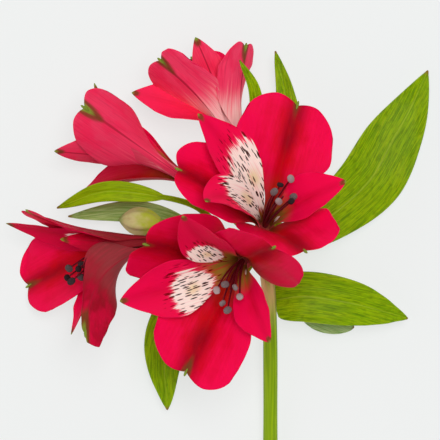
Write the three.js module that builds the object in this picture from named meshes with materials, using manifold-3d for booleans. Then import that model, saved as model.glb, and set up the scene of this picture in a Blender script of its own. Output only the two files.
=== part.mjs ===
// A cut alstroemeria (Peruvian lily) stem lying on a flat surface: the stem with its umbel of
// pedicels and ovaries, five blooms of six tepals, their stamens, the leaves and one young bud.
// Millimetres, +Z up. The stem runs along +Y from its cut end to the blooms.
import * as THREE from 'three';
import Module from 'manifold-3d';

// ---- Driving dimensions ----
const CUT_END_Y = -176; // from the umbel back to the cut end
const STEM_RADIUS = 3.2;
const STEM_SIDES = 10;
const STEM_RINGS = 16;
const REST_LENGTH = 52; // the stretch of stem that lies flat, from the cut end
const CUT_SLANT = 0.45; // how far the cut runs back for each millimetre of height
const UMBEL_HEIGHT = 22; // where the pedicels meet, above the surface
const KNOB_RADIUS = 3.8; // the swelling at the umbel
const KNOB_SIDES = 12;
const PEDICEL_RADIUS = 1.2;
const PEDICEL_SWELL = 0.3; // thicker where it meets the ovary
const PEDICEL_SIDES = 6;
const OVARY_LENGTH = 8.2;
const OVARY_RADIUS = 2.5;
const OVARY_RIBS = 6;
const BLADE_THICKNESS = 0.6;
const SHORTEST_EDGE = 0.01;
const TOUCH = 0.02; // a blade this close to the surface lies on it
const JOINT_GAP = 0.35; // clear space between pieces that grow from each other
const RECEPTACLE_RADIUS = 3.9; // the low disc that holds the six tepals together
const RECEPTACLE_HEIGHT = 1.2;
const RECEPTACLE_SIDES = 10;
const FILAMENT_RADIUS = 0.45;
const ANTHER_LENGTH = 4;
const ANTHER_RADIUS = 1.1;
const ORIGIN = [17.3, 44.8, 0]; // moves the bottom centre of the whole object to the origin

const MIDRIB_STEPS = 96; // steps of the sum that lays out a midrib
const TEPAL_ROWS = 7;
const LEAF_COLUMNS = 4;
const LEAF_ROWS = 10;
const BRANCH_STEPS = 7;

// ---- Colours ----
const finish = (name, color, roughness) =>
  Object.assign(new THREE.MeshStandardMaterial({ color, roughness, metalness: 0 }), { name });
const CRIMSON = finish('tepal', 0xd8062f, 0.5);
const FILAMENT = finish('stamen', 0x6a1022, 0.6);
const STEM_GREEN = finish('stem', 0x7fa53a, 0.55);
const LEAF_GREEN = finish('leaf', 0x6f9a1c, 0.5);
const LEAF_GREY = finish('leaf_underside', 0x76946a, 0.65);
const BUD_BEIGE = finish('bud', 0xb9b48a, 0.65);

// ---- Small maths ----
const vec = (x, y, z) => new THREE.Vector3(x, y, z);
const mix = (pairs) => pairs.reduce((sum, [v, k]) => sum.addScaledVector(v, k), vec(0, 0, 0));
const rad = THREE.MathUtils.degToRad;
const clamp = THREE.MathUtils.clamp;

function ease(x) {
  const t = clamp(x, 0, 1);
  return t * t * (3 - 2 * t);
}

// The quadratic that takes the three values at s = 0, 1/2 and 1.
function through([start, middle, end], s) {
  return start * (1 - s) * (1 - 2 * s) + 4 * middle * s * (1 - s) + end * s * (2 * s - 1);
}

// A smooth line through hand-placed points, with s = 0..1 spread evenly over the spans.
function along(points, s) {
  const spans = points.length - 1;
  const x = clamp(s, 0, 1) * spans;
  const i = Math.min(Math.floor(x), spans - 1);
  const f = x - i;
  const at = (k) => {
    if (k < 0) return mix([[points[0], 2], [points[1], -1]]);
    if (k > spans) return mix([[points[spans], 2], [points[spans - 1], -1]]);
    return points[k];
  };
  return mix([
    [at(i - 1), 0.5 * (-f + 2 * f * f - f * f * f)],
    [at(i), 0.5 * (2 - 5 * f * f + 3 * f * f * f)],
    [at(i + 1), 0.5 * (f + 4 * f * f - 3 * f * f * f)],
    [at(i + 2), 0.5 * (-f * f + f * f * f)],
  ]);
}

// ---- Closed solids ----
function solidFrom(points, triangles) {
  const geometry = new THREE.BufferGeometry();
  geometry.setAttribute('position', new THREE.Float32BufferAttribute(points.flatMap((p) => p.toArray()), 3));
  geometry.setIndex(triangles.flat());
  return geometry;
}

// A closed tube over rings of points, each ring counter-clockwise seen from the last ring.
function loft(rings) {
  const sides = rings[0].length;
  const points = rings.flat();
  const triangles = [];
  for (let j = 0; j + 1 < rings.length; j++) {
    for (let i = 0; i < sides; i++) {
      const [a, b] = [j * sides + i, j * sides + ((i + 1) % sides)];
      triangles.push([a, b, b + sides], [a, b + sides, a + sides]);
    }
  }
  const centre = (ring) => mix(ring.map((p) => [p, 1 / sides]));
  const first = points.push(centre(rings[0])) - 1;
  const last = points.push(centre(rings[rings.length - 1])) - 1;
  const top = (rings.length - 1) * sides;
  for (let i = 0; i < sides; i++) {
    const next = (i + 1) % sides;
    triangles.push([first, next, i], [last, top + i, top + next]);
  }
  return solidFrom(points, triangles);
}

// A round or ribbed body about a line: stations are [distance along, radius].
function turned(base, axes, stations, sides, rib = 0) {
  const { u, v, w } = axes;
  return loft(stations.map(([height, radius]) => Array.from({ length: sides }, (_, i) => {
    const angle = (2 * Math.PI * i) / sides;
    const r = radius * (i % 2 ? 1 - rib : 1);
    return mix([[base, 1], [w, height], [u, r * Math.cos(angle)], [v, r * Math.sin(angle)]]);
  })));
}

// A round branch along a curve.
function branch(curve, radiusAt, sides, steps) {
  const { normals, binormals } = curve.computeFrenetFrames(steps, false);
  return loft(normals.map((n, j) => {
    const centre = curve.getPoint(j / steps);
    const r = radiusAt(j / steps);
    return Array.from({ length: sides }, (_, i) => {
      const angle = (2 * Math.PI * i) / sides;
      return mix([[centre, 1], [n, r * Math.cos(angle)], [binormals[j], r * Math.sin(angle)]]);
    });
  }));
}

// A thin blade on both sides of a grid of points. Both faces are split into triangles alike.
// Where the blade comes down to the surface it lies flat on it.
function blade(grid) {
  const rows = grid.length;
  const columns = grid[0].length;
  const half = BLADE_THICKNESS / 2;
  const pick = (j, i) => grid[clamp(j, 0, rows - 1)][clamp(i, 0, columns - 1)];
  const faces = [[], []];
  grid.forEach((row, j) => row.forEach((point, i) => {
    const forward = pick(j + 1, i).clone().sub(pick(j - 1, i));
    const across = pick(j, i + 1).clone().sub(pick(j, i - 1));
    const normal = across.cross(forward).normalize();
    const centre = vec(point.x, point.y, Math.max(point.z, half));
    if (point.z < half + TOUCH) normal.set(0, 0, Math.sign(normal.z) || 1);
    [1, -1].forEach((side, k) => {
      const p = mix([[centre, 1], [normal, side * half]]);
      faces[k].push(vec(p.x, p.y, Math.max(p.z, 0)));
    });
  }));
  const count = rows * columns;
  const at = (j, i) => j * columns + i;
  const triangles = [];
  for (let j = 0; j + 1 < rows; j++) {
    for (let i = 0; i + 1 < columns; i++) {
      const [a, b, c, d] = [at(j, i), at(j, i + 1), at(j + 1, i + 1), at(j + 1, i)];
      const [a2, b2, c2, d2] = [a + count, b + count, c + count, d + count];
      triangles.push([a, b, c], [a, c, d], [a2, c2, b2], [a2, d2, c2]);
    }
  }
  const rim = [];
  for (let i = 0; i < columns; i++) rim.push(at(0, i));
  for (let j = 1; j < rows; j++) rim.push(at(j, columns - 1));
  for (let i = columns - 2; i >= 0; i--) rim.push(at(rows - 1, i));
  for (let j = rows - 2; j > 0; j--) rim.push(at(j, 0));
  rim.forEach((p, k) => {
    const q = rim[(k + 1) % rim.length];
    triangles.push([p, p + count, q + count], [p, q + count, q]);
  });
  return solidFrom(faces.flat(), triangles);
}

const wasm = await Module();
wasm.setup();

function toManifold(geometry) {
  const vertProperties = new Float32Array(geometry.attributes.position.array);
  const triVerts = new Uint32Array(geometry.index.array);
  return new wasm.Manifold(new wasm.Mesh({ numProp: 3, vertProperties, triVerts }));
}

// Joins closed solids into one. Hollows that the joining seals are filled, and edges too short to
// see are closed up.
function fuse(geometries) {
  const joined = geometries.map(toManifold).reduce((sum, solid) => sum.add(solid));
  const shells = joined.decompose();
  const outside = shells.reduce((most, shell) => (shell.volume() > most.volume() ? shell : most));
  const { vertProperties, triVerts } = outside.simplify(SHORTEST_EDGE).getMesh();
  const geometry = new THREE.BufferGeometry();
  geometry.setAttribute('position', new THREE.BufferAttribute(new Float32Array(vertProperties), 3));
  geometry.setIndex(new THREE.BufferAttribute(new Uint32Array(triVerts), 1));
  return geometry;
}

// ---- Tepals ----
// azimuth: where round the flower's axis the midrib leaves, swing: how far it turns by its tip.
// opening: the midrib's angle from the axis at its base, middle and tip. twist: roll about the
// midrib. cup: half the arc that the cross-section bends through. width, claw: half widths of the
// blade and of its narrow foot. filled, grow: where the full width is reached and how late.
// narrowing: how much the end narrows. side: how unequal the two halves' widths are. shoulder: how
// far along the blade's sides end. notch, skew: the dip at the tip and how unequal its lobes are.
const OUTER = {
  length: 52, width: 17.5, claw: 2.4, filled: 0.74, grow: 1.3, narrowing: 0.06, shoulder: 0.7,
  tipFall: (q) => 1 - Math.sqrt(1 - q * q),
  notch: 0.07, skew: 0, side: 0, swing: 0, twist: [0, 0, 0], cup: [1, 0.7, 0.2], wave: 0.05,
  baseRadius: 2.6, columns: 6,
};
const INNER = {
  ...OUTER, width: 9.5, claw: 2, filled: 0.72, narrowing: 0.35, shoulder: 0.8,
  tipFall: (q) => Math.abs(q) ** 1.25,
  notch: 0, cup: [1, 0.7, 0.3], wave: 0.03, baseRadius: 1.9,
  columns: 4,
};
const NOTCH_WIDTH = 0.5;
const WAVES = 2; // edge waves along a blade
const WAVE_OFFSET = 1.3; // how far the two edges' waves are out of step
const WAVE_ONSET = 1.4; // how early along a tepal its waves reach their height

// base: the top of the ovary, from the point of the surface under the umbel. leans, tilt: the
// compass direction and angle from upright of the flower's axis. dip: how its pedicel leaves the
// umbel. stamens: the length of the longest. bend: where they curve to, and how far. spread: how far
// they lean apart.
const BLOOMS = {
  right: {
    base: [1, 9, 39.5], leans: 75, tilt: 30, dip: [0, 0, 0], stamens: 28, bend: [20, 12], spread: 10,
    tepals: [
      {
        ...OUTER, azimuth: 75, opening: [22, 60, 70], length: 54, width: 20.5, filled: 0.86, grow: 2.3,
        skew: 0.05, side: 0.06, cup: [1, 0.45, 0.1],
      },
      {
        ...OUTER, azimuth: 164, opening: [24, 60, 72], length: 49, width: 15.5, skew: -0.06,
        side: -0.1, cup: [1, 0.45, 0.1],
      },
      {
        ...OUTER, azimuth: 288, opening: [19, 43, 66], length: 42, width: 20, skew: 0.1, swing: 14,
        twist: [0, -5, -5],
      },
      {
        ...INNER, azimuth: 134, opening: [20, 50, 66], length: 55, width: 10.2, filled: 0.6,
        side: 0.12, swing: 6,
      },
      { ...INNER, azimuth: 177, opening: [16, 40, 54], width: 10, swing: 66 },
      { ...INNER, azimuth: 3, opening: [14, 36, 48], length: 45.5, width: 10.5 },
    ],
  },
  near: {
    base: [-7.5, -4, 43], leans: 226, tilt: 27, dip: [0, 0, 0], stamens: 28, bend: [289, 14], spread: 10,
    tepals: [
      {
        ...OUTER, azimuth: 157, opening: [27, 58, 52], length: 46.5, width: 18, notch: 0.12,
        skew: 0.14, side: -0.1, cup: [0.8, 0.2, 0.1],
      },
      {
        ...OUTER, azimuth: 38, opening: [16, 42, 60], length: 48, width: 20, twist: [5, 20, 22],
        cup: [0.9, 0.2, 0],
      },
      { ...OUTER, azimuth: 246, opening: [22, 60, 72], length: 54, width: 21, skew: 0.05 },
      { ...INNER, azimuth: 112, opening: [16, 40, 54], width: 10.5, swing: -12 },
      { ...INNER, azimuth: 191, opening: [18, 54, 66], length: 54, width: 12.5 },
      { ...INNER, azimuth: 317, opening: [14, 40, 50], length: 46 },
    ],
  },
  left: {
    base: [-46, 2.5, 22], leans: 182, tilt: 70, dip: [0, 0, -0.5], stamens: 35, bend: [280, 21],
    spread: 4,
    tepals: [
      {
        ...OUTER, azimuth: 92, opening: [0, 13, 29], length: 56, width: 14, cup: [0.9, 0.35, 0.1],
        baseRadius: 3,
      },
      {
        ...OUTER, azimuth: 207, opening: [0, 46, 62], length: 62, width: 17.5, skew: -0.05,
        shoulder: 0.78, cup: [1, 0.5, 0], baseRadius: 3,
      },
      {
        ...OUTER, azimuth: 305, opening: [3, 52, 82], width: 8.6, length: 60.5, skew: -0.2, filled: 0.6,
        narrowing: 0.4, side: -0.65, twist: [0, 60, 60], cup: [1.2, 0.3, 0.1], baseRadius: 3,
      },
      { ...INNER, azimuth: 157, opening: [0, 24, 36], length: 60, width: 7, twist: [0, -24, -36] },
      { ...INNER, azimuth: 266, opening: [4, 50, 68], length: 51, width: 8 },
      { ...INNER, azimuth: 30, opening: [2, 6, 12], length: 40, width: 5 },
    ],
  },
  far_left: {
    base: [-32, 29.5, 23], leans: 145, tilt: 88, dip: [0, 0, 0], stamens: 33, bend: [235, 4], spread: 2,
    tepals: [
      {
        ...OUTER, azimuth: 325, opening: [2, 12, 22], length: 54, width: 15, grow: 2.6, filled: 0.84,
        skew: 0.05, side: -0.15, cup: [1.2, 1, 0.3],
      },
      { ...OUTER, azimuth: 205, opening: [20, 50, 62], length: 47, width: 14.5 },
      { ...OUTER, azimuth: 142, opening: [4, 20, 32], length: 46, width: 7.5 },
      { ...INNER, azimuth: 235, opening: [2, 24, 32], length: 54, width: 12, twist: [0, 30, 40] },
      { ...INNER, azimuth: 50, opening: [0, 5, 38], length: 54, width: 6.5, twist: [0, 0, -30] },
      { ...INNER, azimuth: 160, opening: [2, 8, 12], length: 44, width: 7 },
    ],
  },
  far: {
    base: [-9, 43, 20], leans: 114, tilt: 86, dip: [0, 0, -1], stamens: 32, bend: [204, 0], spread: 1.5,
    tepals: [
      {
        ...OUTER, azimuth: 249, opening: [4, 26, 36], length: 53, width: 17, grow: 2.6, skew: 0.1,
        side: -0.3, cup: [1, 0.5, 0.1],
      },
      {
        ...OUTER, azimuth: 8, opening: [4, 28, 36], length: 43, width: 13, skew: -0.04,
        twist: [0, -16, -20],
      },
      { ...OUTER, azimuth: 122, opening: [6, 28, 40], length: 48, width: 14 },
      { ...INNER, azimuth: 196, opening: [4, 43, 56], length: 50, width: 9.5, twist: [0, -50, -60] },
      { ...INNER, azimuth: 305, opening: [2, 10, 16], length: 48.5, width: 8.5, swing: -12 },
      { ...INNER, azimuth: 60, opening: [4, 26, 30], length: 42, width: 8 },
    ],
  },
};

// The flower's own axes: w along it, and u and v across, turned as little as possible from X and Y.
function axesOf({ leans, tilt }) {
  const hinge = vec(-Math.sin(rad(leans)), Math.cos(rad(leans)), 0);
  const turn = new THREE.Quaternion().setFromAxisAngle(hinge, rad(tilt));
  const [u, v, w] = [vec(1, 0, 0), vec(0, 1, 0), vec(0, 0, 1)].map((axis) => axis.applyQuaternion(turn));
  return { u, v, w };
}

// The directions at a share s of the midrib: outward, sideways, along the midrib, and the face.
function directions({ u, v, w }, tepal, s) {
  const open = rad(through(tepal.opening, s));
  const around = rad(tepal.azimuth + tepal.swing * s * s);
  const outward = mix([[u, Math.cos(around)], [v, Math.sin(around)]]);
  const sideways = mix([[u, -Math.sin(around)], [v, Math.cos(around)]]);
  const forward = mix([[w, Math.cos(open)], [outward, Math.sin(open)]]);
  const face = mix([[outward, -Math.cos(open)], [w, Math.sin(open)]]);
  return { outward, sideways, forward, face };
}

function midrib(base, axes, tepal) {
  const start = directions(axes, tepal, 0).outward;
  const points = [mix([[base, 1], [start, tepal.baseRadius]])];
  for (let k = 0; k < MIDRIB_STEPS; k++) {
    const { forward } = directions(axes, tepal, (k + 0.5) / MIDRIB_STEPS);
    points.push(mix([[points[k], 1], [forward, tepal.length / MIDRIB_STEPS]]));
  }
  return (s) => {
    const x = clamp(s, 0, 1) * MIDRIB_STEPS;
    const k = Math.min(Math.floor(x), MIDRIB_STEPS - 1);
    return points[k].clone().lerp(points[k + 1], x - k);
  };
}

// Where a bent cross-section lies at q = -1..1 across: [sideways, up from the midrib].
function bentAcross(halfWidth, bend, q) {
  const b = Math.abs(bend) < 1e-3 ? 1e-3 : bend;
  return [(halfWidth * Math.sin(b * q)) / b, (halfWidth * (1 - Math.cos(b * q))) / b];
}

// The height of the edge waves of a blade, at s along and q across.
function waveAt(size, count, s, q) {
  return size * q * q * Math.sin(2 * Math.PI * count * s + WAVE_OFFSET * Math.sign(q));
}

function tepalBlade(base, axes, tepal) {
  const spine = midrib(base, axes, tepal);
  const pointAt = (sigma, q) => {
    const dip = tepal.notch * Math.max(0, 1 - Math.abs(q) / NOTCH_WIDTH) ** 1.5;
    const end = 1 - (1 - tepal.shoulder) * tepal.tipFall(q) - dip + tepal.skew * q;
    const s = sigma * end;
    const { sideways, face } = directions(axes, tepal, s);
    const roll = rad(through(tepal.twist, s));
    const across = mix([[sideways, Math.cos(roll)], [face, Math.sin(roll)]]);
    const up = mix([[sideways, -Math.sin(roll)], [face, Math.cos(roll)]]);
    const widened = tepal.claw + (tepal.width - tepal.claw) * ease(sigma / tepal.filled) ** tepal.grow;
    const past = clamp((sigma - tepal.filled) / (1 - tepal.filled), 0, 1);
    const half = (widened - tepal.width * tepal.narrowing * past * past) * (1 + tepal.side * q);
    const [x, z] = bentAcross(half, through(tepal.cup, s), q);
    const wave = waveAt(tepal.wave * tepal.width * ease(WAVE_ONSET * s), WAVES, s, q);
    return mix([[spine(s), 1], [across, x], [up, z + wave]]);
  };
  const row = (j) => Array.from({ length: tepal.columns + 1 }, (_, i) =>
    pointAt(j / TEPAL_ROWS, (2 * i) / tepal.columns - 1));
  return blade(Array.from({ length: TEPAL_ROWS + 1 }, (_, j) => row(j)));
}

function perianth(bloom) {
  const base = vec(...bloom.base);
  const axes = axesOf(bloom);
  const rims = [0, RECEPTACLE_HEIGHT].map((height) => [height, RECEPTACLE_RADIUS]);
  const disc = turned(base, axes, rims, RECEPTACLE_SIDES);
  return fuse([disc, ...bloom.tepals.map((tepal) => tepalBlade(base, axes, tepal))]);
}

// ---- Stamens and style ----
const STAMENS = 6;
const STAMEN_SIDES = 3;
const STAMEN_FOOT = [1.2, 1.1, 1.3]; // bottom radius, top radius and height of the joined bases
const FILAMENT_SINK = 0.6; // how high and how far out of the middle a filament starts in them
const STYLE_SHARE = 0.75; // of the longest stamen
const UNEVEN_PLACE = 0.25; // how far a filament stands off its even place, as a share of the step
const UNEVEN_LENGTH = 0.18; // how much shorter than the longest a stamen can be
const FILAMENT_STATIONS = [0, 0.35, 0.7];
const NEARBY = 0.002; // a small step along a line, to find its direction
const LEVEL = vec(0.3, 0.2, 1); // a direction that no filament runs along
const ANTHER_STATIONS = [[-1, 0.4], [-0.72, 0.95], [-0.3, 1], [0, 0.35]]; // back from the tip
const BLOOM_TURN = 0.7; // how much further round the stamens stand from one bloom to the next

// The line of one filament, or of the style where it has no place round the axis.
function filamentLine(base, axes, bloom, around, length) {
  const { u, v, w } = axes;
  const across = (angle, k) => [[u, k * Math.cos(angle)], [v, k * Math.sin(angle)]];
  const [bendTo, bendBy] = bloom.bend.map(rad);
  const start = RECEPTACLE_HEIGHT + JOINT_GAP + FILAMENT_SINK;
  return (s) => {
    const far = s * length;
    const lean = around === null ? 0 : FILAMENT_SINK + Math.tan(rad(bloom.spread)) * far;
    const curve = Math.tan(bendBy) * far * s;
    return mix([[base, 1], [w, start + far], ...across(around ?? 0, lean), ...across(bendTo, curve)]);
  };
}

// A filament with its anther, or the style where there is no anther.
function stamen(line, length, hasAnther) {
  const stations = FILAMENT_STATIONS.map((s) => [s, FILAMENT_RADIUS]);
  const anther = ANTHER_STATIONS.map(([back, r]) => [1 + (back * ANTHER_LENGTH) / length, r * ANTHER_RADIUS]);
  stations.push(...(hasAnther ? anther : [[1, FILAMENT_RADIUS]]));
  return loft(stations.map(([s, radius]) => {
    const forward = line(s + NEARBY).sub(line(s - NEARBY)).normalize();
    const side = LEVEL.clone().cross(forward).normalize();
    const up = forward.clone().cross(side);
    return Array.from({ length: STAMEN_SIDES }, (_, i) => {
      const angle = (2 * Math.PI * i) / STAMEN_SIDES;
      return mix([[line(s), 1], [side, radius * Math.cos(angle)], [up, radius * Math.sin(angle)]]);
    });
  }));
}

function stamenSet(bloom, turn) {
  const base = vec(...bloom.base);
  const axes = axesOf(bloom);
  const foot = RECEPTACLE_HEIGHT + JOINT_GAP;
  const [bottom, top, height] = STAMEN_FOOT;
  const solids = [turned(base, axes, [[foot, bottom], [foot + height, top]], STAMENS)];
  for (let i = 0; i < STAMENS; i++) {
    const around = (2 * Math.PI * (i + UNEVEN_PLACE * Math.sin(turn + 2.4 * i))) / STAMENS + turn;
    const shorter = UNEVEN_LENGTH * (1 - Math.abs(Math.sin(turn + 1.7 * i)));
    const length = bloom.stamens * (1 - shorter);
    solids.push(stamen(filamentLine(base, axes, bloom, around, length), length, true));
  }
  const styleLength = bloom.stamens * STYLE_SHARE;
  solids.push(stamen(filamentLine(base, axes, bloom, null, styleLength), styleLength, false));
  return fuse(solids);
}

// ---- Leaves ----
// line: the midrib from near its foot to its tip, from the point of the surface under the umbel.
// foot: the direction in which it leaves the umbel. start: the point of its foot, for a leaf that
// sits elsewhere on the stem or on a pedicel.
// stalk, width: half widths of foot and blade. begins: where the blade starts. peak, full: where
// the blade is widest. full, point: how blunt its foot end and its tip are. grey: whether its pale
// underside is up.
const LEAF = {
  stalk: 1.6, begins: 0, peak: 0.9, full: 0.8, point: 0.8, cup: [0.6, 0.4, 0.3],
  wave: 0.04, waves: 2.5,
};
const LEAVES = {
  long_right: {
    ...LEAF, foot: [1, -0.1, -0.15], width: 13.4, peak: 1.1, full: 0.9, point: 0.9,
    line: [[18, 6, 15], [33.5, 17, 8], [46.5, 29.5, 1.6], [55, 44.5, -0.2], [63, 59, 0.2], [70, 74.5, 3]],
  },
  near_right: {
    ...LEAF, start: [7.2, -21, 17], stalk: 4.5, width: 9.3, peak: 0.66, full: 0.5, point: 1.15,
    line: [[18, -19.5, 21], [35.5, -22, 20], [49.5, -25.5, 15], [61, -29, 10]],
  },
  low_right: {
    ...LEAF, start: [6.1, -22.7, 13.9], stalk: 1.6, width: 6.4, begins: 0.3, full: 0.6, point: 0.6,
    grey: true,
    line: [[17, -25, 8], [28, -29, 5], [39, -33, 3]],
  },
  near_left: {
    ...LEAF, foot: [-0.75, -0.66, -0.3], stalk: 1.2, width: 10.5,
    line: [[-27.5, -21, 18], [-39.5, -40, 13], [-39, -67, 8]],
  },
  left_upper: {
    ...LEAF, foot: [-0.85, 0.25, 0.5], width: 4.2, begins: 0.56,
    line: [[-14.5, 6.5, 27], [-27, 17.5, 30], [-44.5, 22, 30], [-64.5, 23.5, 29], [-84, 17, 21]],
  },
  left_lower: {
    ...LEAF, foot: [-0.6, 0.2, -1], width: 4.7, begins: 0.44, grey: true,
    line: [[-17, 5, 13], [-33.5, 11, 11], [-54, 15.5, 11], [-80, 13.5, 10]],
  },
  far: {
    ...LEAF, foot: [0.48, 0.66, -0.57], width: 5,
    line: [[7, 20.5, 15], [11, 49.5, 12], [10, 65, 12], [6, 82, 12]],
  },
  bract: {
    ...LEAF, start: [-3.6, 29.9, 21], stalk: 0.9, width: 2.7,
    line: [[-2, 48.5, 30], [-3, 64.5, 36], [-9, 76.5, 40]],
  },
};
const LEAF_TIP = 0.3; // half width of the very tip

const umbel = vec(0, 0, UMBEL_HEIGHT);

function leafBlade(leaf) {
  const seat = KNOB_RADIUS + JOINT_GAP + BLADE_THICKNESS / 2;
  const foot = leaf.start ? vec(...leaf.start) : mix([[umbel, 1], [vec(...leaf.foot).normalize(), seat]]);
  const points = [foot, ...leaf.line.map((p) => vec(...p))];
  return blade(Array.from({ length: LEAF_ROWS + 1 }, (_, j) => {
    const s = j / LEAF_ROWS;
    const forward = along(points, s + NEARBY).sub(along(points, s - NEARBY)).normalize();
    const across = forward.clone().cross(vec(0, 0, 1)).normalize();
    const up = across.clone().cross(forward);
    const x = clamp((s - leaf.begins) / (1 - leaf.begins), 0, 1);
    const blunt = leaf.full + (leaf.point - leaf.full) * x;
    const swell = Math.max(0, Math.sin(Math.PI * x ** leaf.peak)) ** blunt;
    const half = Math.max(LEAF_TIP, leaf.stalk * Math.sqrt(1 - s) + (leaf.width - 0.5 * leaf.stalk) * swell);
    return Array.from({ length: LEAF_COLUMNS + 1 }, (_, i) => {
      const q = (2 * i) / LEAF_COLUMNS - 1;
      const [side, rise] = bentAcross(half, through(leaf.cup, s), q);
      const wave = waveAt(leaf.wave * leaf.width, leaf.waves, s, q);
      return mix([[along(points, s), 1], [across, side], [up, rise + wave]]);
    });
  }));
}

// ---- Stem with its pedicels and ovaries, grown as one piece ----
const OVARY_SHAPE = [[-1, 0.6], [-0.75, 0.9], [-0.4, 1], [-0.1, 0.92], [0, 0.8]];
const RIB_DEPTH = 0.12; // as a share of the radius
const YOUNG_BUD = { foot: [-41.5, 11, 19], tip: [-58.5, 12, 18], dip: [0, 2, -3] };
const BUD_RADIUS = 5.8;
const BUD_SHAPE = [[0, 0.3], [0.12, 0.62], [0.35, 0.95], [0.55, 1], [0.75, 0.82], [0.9, 0.45], [1, 0.12]];

const KNOB_STATIONS = [-1, -0.85, -0.5, 0, 0.5, 0.85, 1];
const STEM_TAPER = 0.4; // how much thinner the stem is at the umbel
const STEM_OFFSET = 4; // how far the stem's cut end lies to the right of the umbel
const STEM_CURVE = 12; // the length over which the stem turns in to the umbel
const STEM_RISE = 1.4; // how late the stem rises from the surface, as a power
const PEDICEL_LEAVE = 0.3; // how far a pedicel heads straight for its ovary, as a share of its reach
const PEDICEL_ARRIVE = 0.4; // and how long it runs in line with the ovary

const stemRadius = (share) => STEM_RADIUS - STEM_TAPER * share;

function stemPoint(share) {
  const y = CUT_END_Y * (1 - share);
  const rise = Math.max(0, (y - CUT_END_Y - REST_LENGTH) / (-CUT_END_Y - REST_LENGTH));
  const rest = stemRadius(share) * Math.cos(Math.PI / STEM_SIDES);
  const x = STEM_OFFSET * (1 - Math.exp(y / STEM_CURVE));
  return vec(x, y, rest + (UMBEL_HEIGHT - rest) * rise ** STEM_RISE);
}

function mainStem() {
  return loft(Array.from({ length: STEM_RINGS + 1 }, (_, j) => {
    const share = j / STEM_RINGS;
    const centre = stemPoint(share);
    const forward = stemPoint(share + NEARBY).sub(stemPoint(share - NEARBY)).normalize();
    const side = forward.clone().cross(vec(0, 0, 1)).normalize();
    const up = side.clone().cross(forward);
    const r = stemRadius(share);
    return Array.from({ length: STEM_SIDES }, (_, i) => {
      const angle = (2 * Math.PI * (i + 0.5)) / STEM_SIDES - Math.PI / 2;
      const p = mix([[centre, 1], [side, -r * Math.cos(angle)], [up, r * Math.sin(angle)]]);
      if (j === 0) p.y += CUT_SLANT * p.z;
      return vec(p.x, p.y, Math.max(p.z, 0));
    });
  }));
}

function pedicel(foot, arrival, dip) {
  const reach = foot.distanceTo(umbel) * PEDICEL_ARRIVE;
  const leave = umbel.clone().lerp(foot, PEDICEL_LEAVE).add(vec(...dip));
  const arrive = mix([[foot, 1], [arrival, -reach]]);
  const curve = new THREE.CubicBezierCurve3(umbel, leave, arrive, foot);
  return branch(curve, (s) => PEDICEL_RADIUS + PEDICEL_SWELL * s * s, PEDICEL_SIDES, BRANCH_STEPS);
}

function ovary(bloom) {
  const stations = OVARY_SHAPE.map(([h, r]) => [h * OVARY_LENGTH - JOINT_GAP, r * OVARY_RADIUS]);
  return turned(vec(...bloom.base), axesOf(bloom), stations, 2 * OVARY_RIBS, RIB_DEPTH);
}

function budDirection() {
  return vec(...YOUNG_BUD.tip).sub(vec(...YOUNG_BUD.foot));
}

function stemWithPedicels() {
  const solids = [mainStem()];
  const unit = { u: vec(1, 0, 0), v: vec(0, 1, 0), w: vec(0, 0, 1) };
  const knob = KNOB_STATIONS.map((h) => [h * KNOB_RADIUS, Math.max(0.4, KNOB_RADIUS * Math.sqrt(1 - h * h))]);
  solids.push(turned(umbel, unit, knob, KNOB_SIDES));
  for (const bloom of Object.values(BLOOMS)) {
    const { w } = axesOf(bloom);
    const foot = mix([[vec(...bloom.base), 1], [w, -OVARY_LENGTH]]);
    solids.push(ovary(bloom), pedicel(foot, w, bloom.dip));
  }
  const toBud = budDirection().normalize();
  const budFoot = mix([[vec(...YOUNG_BUD.foot), 1], [toBud, -JOINT_GAP]]);
  solids.push(pedicel(budFoot, toBud, YOUNG_BUD.dip));
  return fuse(solids);
}

function youngBud() {
  const direction = budDirection();
  const length = direction.length();
  const w = direction.normalize();
  const u = vec(0, 0, 1).cross(w).normalize();
  const v = w.clone().cross(u);
  const stations = BUD_SHAPE.map(([h, r]) => [h * length, r * BUD_RADIUS]);
  return turned(vec(...YOUNG_BUD.foot), { u, v, w }, stations, 2 * OVARY_RIBS, RIB_DEPTH);
}

// ---- The whole stem of flowers ----
const group = new THREE.Group();
group.position.set(...ORIGIN);

function add(name, geometry, material) {
  const mesh = new THREE.Mesh(geometry, material);
  mesh.name = name;
  group.add(mesh);
}

add('stem', stemWithPedicels(), STEM_GREEN);
Object.entries(BLOOMS).forEach(([name, bloom], index) => {
  add(`tepals_${name}`, perianth(bloom), CRIMSON);
  add(`stamens_${name}`, stamenSet(bloom, BLOOM_TURN * index), FILAMENT);
});
for (const [name, leaf] of Object.entries(LEAVES)) {
  add(`leaf_${name}`, leafBlade(leaf), leaf.grey ? LEAF_GREY : LEAF_GREEN);
}
add('young_bud', youngBud(), BUD_BEIGE);

export default group;
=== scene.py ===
"""Looks of a cut alstroemeria stem that lies on a pale surface: five crimson blooms, their
stamens, the leaves, one young bud and the stem that carries them, seen from straight above.
Shapes are worked out in millimetres from the point of the surface under the umbel, where the
pedicels meet, and are written to Blender in metres."""

import math

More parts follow.
